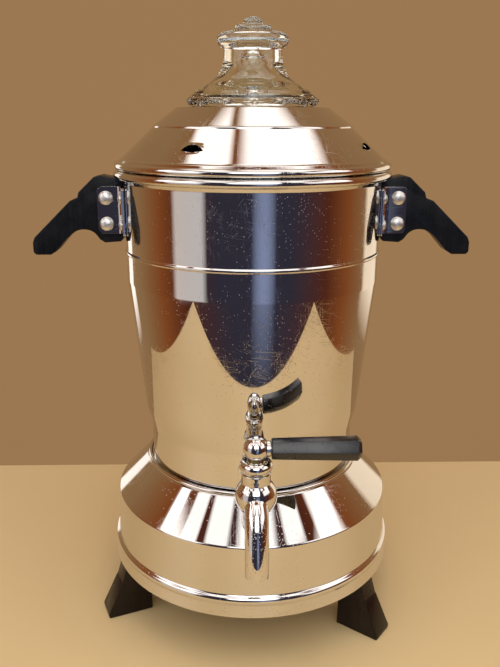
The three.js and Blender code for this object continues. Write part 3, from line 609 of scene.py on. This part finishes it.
def tap_valve():
    bonnet = turned([(4.7, 134.9), (8.2, 134.9, 0.5), *arc(6, 138.6, 3.4, -52, 75, 14), (4.7, 142.3, 0.2)], MIDDLE_ROUND)
    finished(bare_object("tap_bonnet_skin", shifted(bonnet, 0, TAP_Y, 0)), TAP_CHROME, "urn", "chrome", "tap_bonnet")
    stem = turned([(0, 112), (5.7, 112, 0.3), (5.7, 133.6, 0.3), (4.4, 134.2), (4.4, 143), (0, 143)], MIDDLE_ROUND)
    plug = bare_object("tap_plug_skin", shifted(stem, 0, TAP_Y, 0))
    port = turned([(0, -10), (3.2, -10), (3.2, 10), (0, 10)], SMALL_ROUND)
    combine(plug, along_x(port, 0, TAP_Y, TAP_Z))
    finished(plug, BRASS, "tap_valve", "brass", "tap_plug")

    lever_z = 148.4
    hub = bare_object("tap_hub_skin", shifted(turned(
        [(0, 143.3), (4.6, 143.3, 0.4), *arc(0, 148.6, 7.3, -40, 90, 20)[:-1], (0, 155.9)], MIDDLE_ROUND), 0, TAP_Y, 0))
    socket = turned([(0, 0), (4.4, 0), (4.4, 8.1, 0.5), (0, 8.1)], 48)
    combine(hub, along_x(socket, 0, TAP_Y, lever_z), "UNION")
    tang = turned([(0, 0), (2, 0), (2, 22, 0.4), (0, 22)], SMALL_ROUND)
    combine(hub, along_x(tang, 0, TAP_Y, lever_z), "UNION")
    finished(hub, TAP_CHROME, "tap_valve", "chrome", "tap_hub")

    sixth = [math.radians(a) for a in range(0, 360, 60)]
    start, end = 5.95, 7.0
    rings = [(start - 0.5, 0), (start, 0.5), (end, 47.4), (end - 2.0, 49.5)]
    points = [(r * math.sin(a), r * math.cos(a), z) for r, z in rings for a in sixth]
    faces = [[5, 4, 3, 2, 1, 0], list(range(18, 24))]
    faces += [[6 * k + i, 6 * k + (i + 1) % 6, 6 * k + 6 + (i + 1) % 6, 6 * k + 6 + i] for k in range(3) for i in range(6)]
    lever = bare_object("tap_lever_skin", along_x((points, faces), 8.4, TAP_Y, lever_z))
    hole = turned([(0, -1), (2.3, -1), (2.3, 22.5), (0, 22.5)], SMALL_ROUND)
    combine(lever, along_x(hole, 8.4, TAP_Y, lever_z))
    bevel(lever, 0.3, 3, 25)
    finished(lever, LEVER_BLACK, "tap_valve", "black_bakelite", "tap_lever")


# ---- handles -----------------------------------------------------------------------------
HANDLE_HALF = 7
BODY_R = 79.6
BRACKET = 1.6
BRACKET_Z = (253.5, 282.3)


def handle_outline():
    thumb = [(107.3, 278.6, 1.0), (108.2, 275.2, 0.8), (113, 273.3, 2.0)]
    hollow = spline([(115.4, 250.8), (109.6, 254.9), (103.5, 255.6), (98.8, 253.6), (95.4, 249.4)], 5)
    corners = [
        (80.1, 286, 0.5), (93, 288.8, 1.5), (97.5, 287.8, 1.5), *thumb, (136.4, 250.7, 2.5), (137.6, 247.4, 1.5),
        (137.6, 241.4, 1.6), (136, 239.8, 1.6), (126.8, 239.8, 1.5), (123.2, 242, 1.0),
        *[(p.x, p.y) for p in hollow], (92.4, 247.5, 1.0), (82.4, 248.2, 1.0), (80.1, 251, 0.5),
    ]
    return rounded(corners, True)


def bracket_shape():
    """One bracket: a cheek on the handle's face that bends round into a flange on the vessel's wall."""
    cheek_y = HANDLE_HALF + GAP
    inner = BODY_R + GAP
    bend = 4.5
    flange_start = 13.3
    cheek_end, flange_end = 95.5, 21.0
    start = Vector((math.sqrt(inner * inner - 100) + 0.3, -cheek_y))
    plan = [(cheek_end, -cheek_y), (start.x, start.y, bend)]
    for i in range(9):
        y = flange_start + (flange_end - flange_start) * i / 8
        plan.append((math.sqrt(inner * inner - y * y), -y))
    line = held(rounded(plan), reach=1.2)
    low, high = BRACKET_Z
    lengths = [0.0]
    for a, b in zip(line, line[1:]):
        lengths.append(lengths[-1] + (b - a).length)
    total = lengths[-1]
    round_end = 3.2
    stations = sorted(set(lengths + [round_end * (1 - math.cos(math.radians(a))) for a in range(0, 91, 10)]
                          + [total - 1.2 * (1 - math.cos(math.radians(a))) for a in range(0, 91, 15)]))

    def at(s):
        for k in range(len(line) - 1):
            if s <= lengths[k + 1] + 1e-9:
                share = (s - lengths[k]) / (lengths[k + 1] - lengths[k])
                return line[k].lerp(line[k + 1], share), (line[k + 1] - line[k]).normalized()
        return line[-1], (line[-1] - line[-2]).normalized()

    points, faces = [], []
    for s in stations:
        here, along = at(s)
        out = Vector((-along.y, along.x))
        if out.y > 0 and s < total / 3 or out.x < 0:
            out = -out
        trim = 0.0
        for distance, radius in ((s, round_end), (total - s, 1.2)):
            if distance < radius:
                trim = radius - math.sqrt(max(0.0, radius ** 2 - (radius - distance) ** 2))
        for layer in (0, BRACKET):
            p = here + out * layer
            points += [(p.x, p.y, low + trim), (p.x, p.y, high - trim)]
    for i in range(len(stations) - 1):
        a, b = 4 * i, 4 * i + 4
        faces += [[a, b, b + 1, a + 1], [a + 2, a + 3, b + 3, b + 2], [a, a + 2, b + 2, b], [a + 1, b + 1, b + 3, a + 3]]
    last = 4 * len(stations) - 4
    faces += [[0, 1, 3, 2], [last, last + 2, last + 3, last + 1]]
    return points, faces


def dome(radius, height, steps=8):
    """Half profile of a domed rivet head, from its edge to its crown."""
    return [(radius * math.cos(math.radians(a)), height * math.sin(math.radians(a)))
            for a in [90 * i / steps for i in range(steps)]] + [(0, height)]


def handles():
    depth = 2 * HANDLE_HALF
    bracket = bracket_shape()
    face = HANDLE_HALF + BRACKET + 2 * GAP
    head = dome(4.3, 2.4)
    upper = [(r, face + z) for r, z in head]
    big_rivet = lathe([(r, -z) for r, z in reversed(upper)] + [(2, -face), (2, face)] + upper, SMALL_ROUND)
    for side, sign in SIDES.items():
        grip = shifted(turn(prism(handle_outline(), depth), 90, "X"), 0, HANDLE_HALF, 0)
        grip = grip if sign > 0 else mirrored(grip, 0)
        piece = bare_object(f"handle_{side}_skin", grip)
        bevel(piece, 1.0, 3, 50)
        finished(piece, BLACK, "urn", "black_bakelite", f"handle_{side}")
        for end, end_sign in ENDS.items():
            shape = bracket if sign > 0 else mirrored(bracket, 0)
            shape = shape if end_sign < 0 else mirrored(shape, 1)
            plate = bare_object(f"bracket_{side}_{end}_skin", shape)
            bevel(plate, 0.6, 4, 40)
            finished(plate, CHROME, "urn", "chrome", f"handle_bracket_{side}_{end}")
        for level, z in RIVET_Z.items():
            pin = bare_object(f"handle_rivet_{side}_{level}_skin", along_y(big_rivet, sign * 90.3, 0, z))
            finished(pin, RIVET, "urn", "rivet", f"handle_rivet_{side}_{level}")


def vessel_rivets():
    seat = BODY_R + BRACKET + 2 * GAP
    tail = BODY_R - SHEET - GAP
    head = [(r, seat + z) for r, z in dome(3.2, 1.8)]
    rivet = lathe([(0, tail - 1), (2.6, tail - 1), (3, tail - 0.7), (3, tail - 0.2), (1.6, tail - 0.1), (1.6, seat)]
                  + head, 32)
    swing = math.degrees(math.asin(15 / BODY_R))
    for side, sign in SIDES.items():
        for end, end_sign in ENDS.items():
            for level, z in RIVET_Z.items():
                degrees = sign * (end_sign * swing) + (0 if sign > 0 else 180)
                name = f"vessel_rivet_{side}_{end}_{level}"
                piece = bare_object(f"{name}_skin", shifted(turn(along_x(rivet, 0, 0, 0), degrees), 0, 0, z))
                finished(piece, RIVET, "urn", "rivet", name)


# ---- lid and glass -----------------------------------------------------------------------
VENT_ANGLES = (-27.8, 62.2, 152.2, 242.2)
VENT_MIDDLE = (72.8, 306.2)  # radius and height of an opening's widest line
VENT_HALF, VENT_RISE, VENT_DIP = 7.0, 3.4, 1.6  # the lens-shaped opening, on the cone
VENT_LIFT = 1.3
LID_SLOPE = 0.916


def vented_angles():
    """Angles round the lid, closer together beside the vents."""
    angles = {round(360 * i / ROUND, 4) for i in range(ROUND)}
    for middle in VENT_ANGLES:
        angles |= {round((middle + 0.4 * k) % 360, 4) for k in range(-25, 26)}
    return [math.radians(a) for a in sorted(angles)]


def lid():
    foot_r = 80.4
    foot_z = 317.6 - LID_SLOPE * (foot_r - 60.4)
    slope = Vector((60.4 - foot_r, 317.6 - foot_z))
    cone = [Vector((foot_r, foot_z)) + slope * share / 40 for share in range(1, 40)]
    profile = [
        (75.4, 283), (76.6, 283, 0.4), (76.6, 293.1, 0.2),
        *arc(82.7, 295.4, 2.3, -90, 100, 14),
        (foot_r + 0.8, foot_z - 0.2, 0.8), *[(p.x, p.y) for p in cone],
        (60.9, 317.2), *arc(59.9, 317.6, 0.95, -10, 78, 8), (46.4, 328.7, 1.6), (34.3, 329.5, 0.5), (34.3, 328.3),
        (45, 328.3, 1), (58.6, 316.9, 0.8), (78.8, foot_z - 1.4, 1.0), (75.4, 295.2, 0.5),
    ]
    points, faces = turned(profile, angles=vented_angles())
    piece = bare_object("lid_skin", ([raised_lip(p) for p in points], faces))
    shares = [math.cos(math.radians(a)) for a in range(0, 180, 9)]
    lens = [(VENT_HALF * c, VENT_RISE * (1 - c * c)) for c in shares]
    lens += [(-VENT_HALF * c, -VENT_DIP * (1 - c * c)) for c in shares]
    slope = math.degrees(math.atan(LID_SLOPE))
    radius, height = VENT_MIDDLE
    cutter = turn(shifted(prism(lens, 8), 0, 0, -3), slope, "X")
    for degrees in VENT_ANGLES:
        combine(piece, turn(shifted(cutter, 0, -radius, height), degrees))
    notch = prism([(-7, 30), (7, 30), (7, 38), (-7, 38)], 6)
    for i in range(3):
        combine(piece, turn(shifted(notch, 0, 0, 325.5), 45 + 120 * i))
    finished(piece, CHROME, "lid", "chrome", "lid_shell")


def raised_lip(point):
    """Pushes the sheet out along the upper edge of each vent, where the punch raised it."""
    x, y, z = point
    radius = math.hypot(x, y)
    middle_radius, middle_z = VENT_MIDDLE
    rise = (z - middle_z) / math.sin(math.atan(LID_SLOPE))
    if abs(rise) > 8 or abs(radius - middle_radius) > 9:
        return point
    azimuth = math.degrees(math.atan2(x, -y))
    for middle in VENT_ANGLES:
        away = (azimuth - middle + 180) % 360 - 180
        across = math.radians(away) * radius / (VENT_HALF * 1.25)
        if abs(across) < 1:
            edge = (rise - VENT_RISE * 0.5) / 4.2
            share = max(0.0, 1 - edge * edge) ** 2 * (1 - across * across) ** 2
            out = Vector((x / radius * 0.676, y / radius * 0.676, 0.737))
            return tuple(Vector(point) + out * VENT_LIFT * share)
    return point


GLASS_BEADS = 15


def glass_top():
    flare = spline([(36.4, 336.0), (34.2, 338.1), (28.0, 341.4), (22.9, 345.2), (19.5, 350.2), (17.8, 355.0),
                    (17.3, 361.6)], 5)
    hollow = spline([(30.2, 323.0), (29.2, 329.0), (24.0, 333.6), (15.5, 338.6), (10.5, 345.0), (7.2, 352.0),
                     (5.0, 358.0), (3.0, 360.2), (0, 360.9)], 6)
    outline = [
        *reversed([(p.x, p.y) for p in hollow]),
        (31.0, 322.6, 0.4), (33.4, 322.6, 0.6), (33.5, 331.4, 0.5), (39.6, 331.4, 0.6), (40.3, 332.2, 0.6),
        (40.2, 333.2, 0.8), *[(p.x, p.y) for p in flare],
        *arc(17, 366.6, 4.3, -72, 74, 16),
        (10.9, 372.9, 1.0), (10.4, 374.9, 0.8), (6.4, 375.5, 0.6), *dome_above(6.1, 4.2, 375.8),
    ]
    outline = [p if p[0] > 1e-4 else (0, p[1]) for p in outline]
    piece = bare_object("glass_skin", turned(outline, MIDDLE_ROUND))
    lug = prism(rounded([(-5.5, 32, 0.4), (5.5, 32, 0.4), (5.5, 36.6, 1.4), (-5.5, 36.6, 1.4)], True), 4.2)
    for i in range(3):
        combine(piece, turn(shifted(lug, 0, 0, 323.8), 120 * i), "UNION")
    bead = lathe([(0, 329.9), (1.4, 330.0), (2.3, 330.6), (2.7, 331.8), (0, 331.8)], 24)
    for i in range(GLASS_BEADS):
        combine(piece, turn(shifted(bead, 0, -37.4, 0), 360 / GLASS_BEADS * i), "UNION")
    finished(piece, GLASS, "glass", "clear_glass", "glass_top", sharp=50)


def dome_above(radius, height, z):
    return [(r, z + up) for r, up in dome(radius, height)]


# ---- percolator insert -------------------------------------------------------------------
def pump():
    foot = turned([(0.9, 88.3), (5.6, 84.3, 0.3), (8.3, 84.3, 0.4), (8.3, 85.7, 0.6), (5.9, 100, 0.4), (4.3, 100, 0.3),
                   (4.3, 95), (0.9, 95)], 64)
    finished(bare_object("pump_foot_skin", foot), ALUMINIUM, "pump", "aluminium", "pump_foot")
    stem = turned([(2.8, 95.3), (4, 95.3, 0.3), (4, 211.7, 1), (8.8, 213.2, 0.4), (9, 214.7, 0.3), (4, 214.7, 0.3),
                   (4, 335, 0.4), (2.8, 335, 0.3)], 64)
    finished(bare_object("pump_tube_skin", stem), ALUMINIUM, "pump", "aluminium", "pump_tube")


def basket():
    low, high, sheet = 215, 271, 1.0
    sleeve = 4.5
    floor_rows = [(12 + 5 * k, 8 + 5 * k, 0, 0.9) for k in range(9)]
    floor = perforated(floor_rows, sleeve + 0.7, 57.2, lambda s: (s, low), sheet)
    slope = math.hypot(5, 53)
    wall_rows = [(6 + 5 * k, 72, 2.5 * (k % 2), 0.9) for k in range(2)]
    wall = perforated(wall_rows, 0, slope, lambda s: (60 + 5 * s / slope, low + 2 + 53 * s / slope), 0.0, 60)
    thick = [(p[0] * (1 - 1.0 / 62 * (i >= len(wall[0]) // 2)), p[1] * (1 - 1.0 / 62 * (i >= len(wall[0]) // 2)), p[2])
             for i, p in enumerate(wall[0])]
    knee = turned([(56.8, low, 0.2), (58.4, low, 1.2), (60.1, low + 2.2), (59.0, low + 2.6), (57.8, low + 1, 0.6), (56.8, low + 1)],
                  MIDDLE_ROUND)
    rim = turned([(64.9, high - 1.2), (66.6, high - 1.1, 0.4), (66.9, high - 0.1, 0.4), (64, high, 0.4), (63.9, high - 2)],
                 MIDDLE_ROUND)
    post = turned([(sleeve, low), (sleeve + 1.2, low, 0.2), (sleeve + 1.2, high - 3, 0.3), (sleeve, high - 3, 0.2)], 64)
    piece = bare_object("coffee_basket_skin", joined(floor, (thick, wall[1]), knee, rim, post))
    finished(piece, ALUMINIUM, "basket", "aluminium", "coffee_basket")


def basket_cover():
    z = 271.3
    rows = [(16 + 4.8 * k, 12 + 4 * k, 3 * (k % 2), 0.8) for k in range(10)]
    sheet = perforated(rows, 12.2, 66.6, lambda s: (s, z), 1.0)
    lip = turned([(66.4, z), (68, z, 0.5), (68, z + 4, 0.4), (67, z + 4, 0.4), (67, z + 1, 0.3), (66.4, z + 1)], MIDDLE_ROUND)
    collar = turned([(4.5, z + 3.2), (5.4, z + 3, 0.4), (12, z, 1.0), (12.4, z), (12.4, z + 1), (7.6, z + 4, 0.5),
                     (4.5, z + 5, 0.3)], 64)
    piece = bare_object("basket_cover_skin", joined(sheet, lip, collar))
    finished(piece, ALUMINIUM, "cover", "aluminium", "basket_cover")


# ---- power inlet -------------------------------------------------------------------------
def ring_of(outline_outer, outline_inner, low, high):
    """A tube between two outlines with the same number of points."""
    count = len(outline_outer)
    points, faces = [], []
    for ring, z in ((outline_inner, low), (outline_outer, low), (outline_outer, high), (outline_inner, high)):
        points += [(p[0], p[1], z) for p in ring]
    for row in range(4):
        for i in range(count):
            j = (i + 1) % count
            a, b = row * count, (row + 1) % 4 * count
            faces.append([a + i, a + j, b + j, b + i])
    return points, faces


def inlet():
    z, end, inside = 65, 122, 83
    sleeve = ring_of(stadium(36, 19), stadium(33.6, 16.6), 0, end - inside)
    flange = ring_of(stadium(46, 29), stadium(35, 18), 0, SHEET)
    piece = bare_object("inlet_guard_skin", along_y(joined(sleeve, flange), 0, inside, z))
    bevel(piece, 0.4, 3, 50)
    finished(piece, CHROME, "urn", "chrome", "inlet_guard")
    block = bare_object("inlet_block_skin", along_y(prism(stadium(33, 16), 17), 0, 81, z))
    for name, side in SIDES.items():
        hole = turned([(0, 0), (2.7, 0), (2.7, 30), (0, 30)], SMALL_ROUND)
        combine(block, along_y(hole, side * 8.75, 75, z))
        pin = turned([(0, 72), (2.4, 72), (2.4, 115.4, 0.8), (1.4, 117, 0.6), (0, 117)], SMALL_ROUND)
        pin_piece = bare_object(f"inlet_pin_{name}_skin", along_y(pin, side * 8.75, 0, z))
        finished(pin_piece, BRASS, "urn", "brass", f"inlet_pin_{name}")
    bevel(block, 0.5, 2, 50)
    finished(block, CERAMIC, "urn", "ceramic", "inlet_block")


# ---- carried-over CAD nodes ---------------------------------------------------------------
def repaint():
    """Gives the CAD nodes that stay, all of them inside the base, their procedural finish."""
    finishes = {"steel": STEEL, "brass": BRASS, "ceramic": CERAMIC, "rubber": RUBBER, "aluminium": ALUMINIUM}
    for row in frame["record"]["subparts"]:
        node = frame["nodes"][row["node"]]
        if not node.hide_render:
            for slot in node.material_slots:
                slot.material = finishes[row["material_slot"]]


# ---- stage -------------------------------------------------------------------------------
def plain(name, colour, rough):
    look = Finish(name)
    look.use("Base Color", look.blend(look.noise(0.05, 4.0), tuple(0.97 * c for c in colour[:3]) + (1,), colour))
    look.use("Roughness", look.ramp(look.noise(0.02, 3.0), 0.3, 0.7, rough - 0.04, rough + 0.04))
    return look.material


def table():
    """A pale table top that ends behind the urn and a little in front of it."""
    left, right, front, back = -450, 450, -345, 178
    shape = ([(left, front, 0), (right, front, 0), (right, back, 0), (left, back, 0)], [[0, 1, 2, 3]])
    piece = bare_object("table", shape)
    piece.data.materials.append(plain("table", (0.72, 0.55, 0.285, 1), 0.5))


def lamp(name, azimuth, elevation, distance, size, power, colour, glossy=True):
    """A soft light seen from the urn's middle at that azimuth from the front and that elevation, facing it."""
    light = bpy.data.lights.new(name, "AREA")
    light.shape = "RECTANGLE"
    light.size, light.size_y = size
    light.energy = power
    light.color = colour
    made = bpy.data.objects.new(name, light)
    bpy.context.scene.collection.objects.link(made)
    turned_by, raised = math.radians(azimuth), math.radians(elevation)
    flat = distance * math.cos(raised)
    offset = Vector((flat * math.sin(turned_by), -flat * math.cos(turned_by), distance * math.sin(raised)))
    made.location = LAMP_AIM + offset
    made.rotation_euler = (-offset).to_track_quat("-Z", "Y").to_euler()
    made.visible_camera = False
    made.visible_glossy = glossy
    return light


def panel(name, azimuth, elevation, distance, size, brightness, colour, edge_slope=8.0):
    """A softbox that fades towards its edges; its brightness is what the chrome mirrors."""
    light = lamp(name, azimuth, elevation, distance, size, brightness * math.pi * size[0] * size[1], colour)
    light.use_nodes = True
    nodes, links = light.node_tree.nodes, light.node_tree.links

    def calc(operation, first, second):
        made = nodes.new("ShaderNodeMath")
        made.operation = operation
        for i, value in enumerate((first, second)):
            if isinstance(value, bpy.types.NodeSocket):
                links.new(value, made.inputs[i])
            else:
                made.inputs[i].default_value = value
        return made.outputs[0]

    across = nodes.new("ShaderNodeSeparateXYZ")
    links.new(nodes.new("ShaderNodeNewGeometry").outputs["Parametric"], across.inputs["Vector"])
    fade = None
    for axis in "XY":
        from_end = calc("MULTIPLY", across.outputs[axis], calc("SUBTRACT", 1.0, across.outputs[axis]))
        edge = calc("MINIMUM", calc("MULTIPLY", from_end, edge_slope), 1.0)
        fade = calc("MULTIPLY", fade, edge) if fade else edge
    links.new(fade, nodes["Emission"].inputs["Strength"])


LAMP_AIM = Vector((0, 0, 0.2))
WHITE = (1.0, 0.98, 0.96)
CREAM = (1.0, 0.90, 0.74)
COOL = (0.5, 0.62, 1.0)
# A row of tall windows in front of and above the urn: azimuth, elevation and width.
STRIPS = ((-78, 37, 0.16), (-58, 44, 0.22), (-34, 50, 0.32), (4, 53, 0.54), (40, 49, 0.28), (72, 40, 0.38))


def studio():
    world = bpy.data.worlds.new("studio")
    world.use_nodes = True
    nodes, links = world.node_tree.nodes, world.node_tree.links
    split = nodes.new("ShaderNodeSeparateXYZ")
    links.new(nodes.new("ShaderNodeTexCoord").outputs["Generated"], split.inputs["Vector"])
    spread = nodes.new("ShaderNodeMapRange")
    spread.inputs["From Min"].default_value = -1
    links.new(split.outputs["Y"], spread.inputs["Value"])
    room = nodes.new("ShaderNodeValToRGB")
    room.color_ramp.elements[0].color = (0.035, 0.032, 0.05, 1)
    room.color_ramp.elements[1].color = (0.33, 0.19, 0.085, 1)
    for place, colour in ((0.08, (0.035, 0.032, 0.05, 1)), (0.3, (0.10, 0.025, 0.012, 1)), (0.5, (0.26, 0.075, 0.02, 1)),
                          (0.75, (0.31, 0.175, 0.078, 1))):
        room.color_ramp.elements.new(place).color = colour
    links.new(spread.outputs["Result"], room.inputs["Fac"])
    links.new(room.outputs["Color"], nodes["Background"].inputs["Color"])
    bpy.context.scene.world = world
    bpy.context.scene.view_settings.view_transform = "Standard"
    lamp("key", 0, 66, 1.15, (0.9, 0.9), 3.6, WHITE, glossy=False)
    panel("window_above_left", -90, 71.9, 1.05, (0.75, 0.37), 1.5, WHITE)
    panel("window_above_right", 90, 77.7, 1.02, (0.75, 0.72), 1.5, WHITE)
    for azimuth, elevation, width in STRIPS:
        panel(f"strip_{azimuth}", azimuth, elevation, 1.0, (width, 0.5), 1.4, WHITE)
    for azimuth in (-60, 60):
        panel(f"low_{azimuth}", azimuth, 22, 1.0, (0.8, 0.48), 1.4, WHITE)
    panel("low_0", 0, 28, 1.0, (0.7, 0.5), 3.2, WHITE)
    panel("side_left", -56, 0, 1.1, (0.66, 0.9), 0.6, WHITE)
    panel("edge_left", -140, 0, 1.2, (0.3, 0.9), 1.1, WHITE)
    panel("side_right", 128, 0, 1.2, (0.78, 0.9), 0.8, CREAM)
    panel("front", 8, -8, 1.0, (0.36, 0.9), 0.45, COOL, 4.0)


def camera():
    distance, height, pitch, heading, roll = 0.4597, 0.3237, 16.73, -1.38, 0.155
    swing = math.radians(-1.54)  # the urn stands turned by this much in the photograph
    sight = bpy.data.cameras.new("camera")
    sight.lens = 39.03
    sight.sensor_width = 36
    eye = bpy.data.objects.new("camera", sight)
    bpy.context.scene.collection.objects.link(eye)
    turned_to = Matrix.Rotation(math.radians(heading), 4, "Z")
    tipped = Matrix.Rotation(math.radians(90 - pitch), 4, "X")
    rolled = Matrix.Rotation(math.radians(roll), 4, "Z")
    place = Matrix.Translation((distance * math.sin(swing), -distance * math.cos(swing), height))
    eye.matrix_world = place @ turned_to @ tipped @ rolled
    bpy.context.scene.camera = eye


base_shell()
bottom_plate()
feet()
vessel()
tap_body()
tap_fixings()
tap_valve()
handles()
vessel_rivets()
lid()
glass_top()
pump()
basket()
basket_cover()
inlet()
repaint()
table()
studio()
camera()
